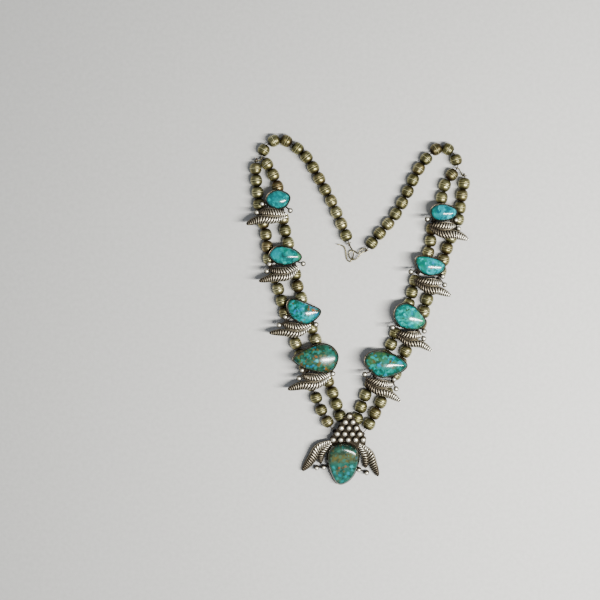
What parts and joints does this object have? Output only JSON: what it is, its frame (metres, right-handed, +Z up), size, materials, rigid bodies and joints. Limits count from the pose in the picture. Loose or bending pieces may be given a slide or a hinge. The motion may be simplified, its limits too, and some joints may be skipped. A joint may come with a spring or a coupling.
{
  "type": "turquoise necklace",
  "caption": "Beaded silver necklace lying flat, with turquoise leaf stations on two side strands, a turquoise pendant, and a hook and eye clasp.",
  "frame": {"origin": "on the surface that the necklace lies on, under the middle of its outline", "axes": "+Z up from the surface, +Y from the pendant towards the neck strands, +X to the right as seen from above"},
  "size_m": [0.1568, 0.2454, 0.0159],
  "materials": {
    "bead_silver": "old silver beads, worn bright on the seams, brown tarnish by the holes",
    "leaf_silver": "stamped silver, bright on the ribs and black-brown in the grooves",
    "clasp_silver": "drawn silver wire, worn smooth",
    "turquoise": "polished natural turquoise with green, brown and orange matrix",
    "thread": "dark twisted waxed thread"
  },
  "bodies": {
    "root": {"neck_beads_left": "bead_silver", "neck_beads_right": "bead_silver", "inner_beads_left": "bead_silver", "inner_beads_right": "bead_silver", "outer_beads_left": "bead_silver", "outer_beads_right": "bead_silver", "main_thread": "thread", "outer_thread": "thread", "link_left": "clasp_silver", "link_right": "clasp_silver", "clasp_hook": "clasp_silver", "clasp_eye": "clasp_silver", "setting_1": "leaf_silver", "setting_2": "leaf_silver", "setting_3": "leaf_silver", "setting_4": "leaf_silver", "setting_5": "leaf_silver", "setting_6": "leaf_silver", "setting_7": "leaf_silver", "setting_8": "leaf_silver", "stone_1": "turquoise", "stone_2": "turquoise", "stone_3": "turquoise", "stone_4": "turquoise", "stone_5": "turquoise", "stone_6": "turquoise", "stone_7": "turquoise", "stone_8": "turquoise", "pendant_setting": "leaf_silver", "pendant_stone": "turquoise"}
  },
  "joints": []
}
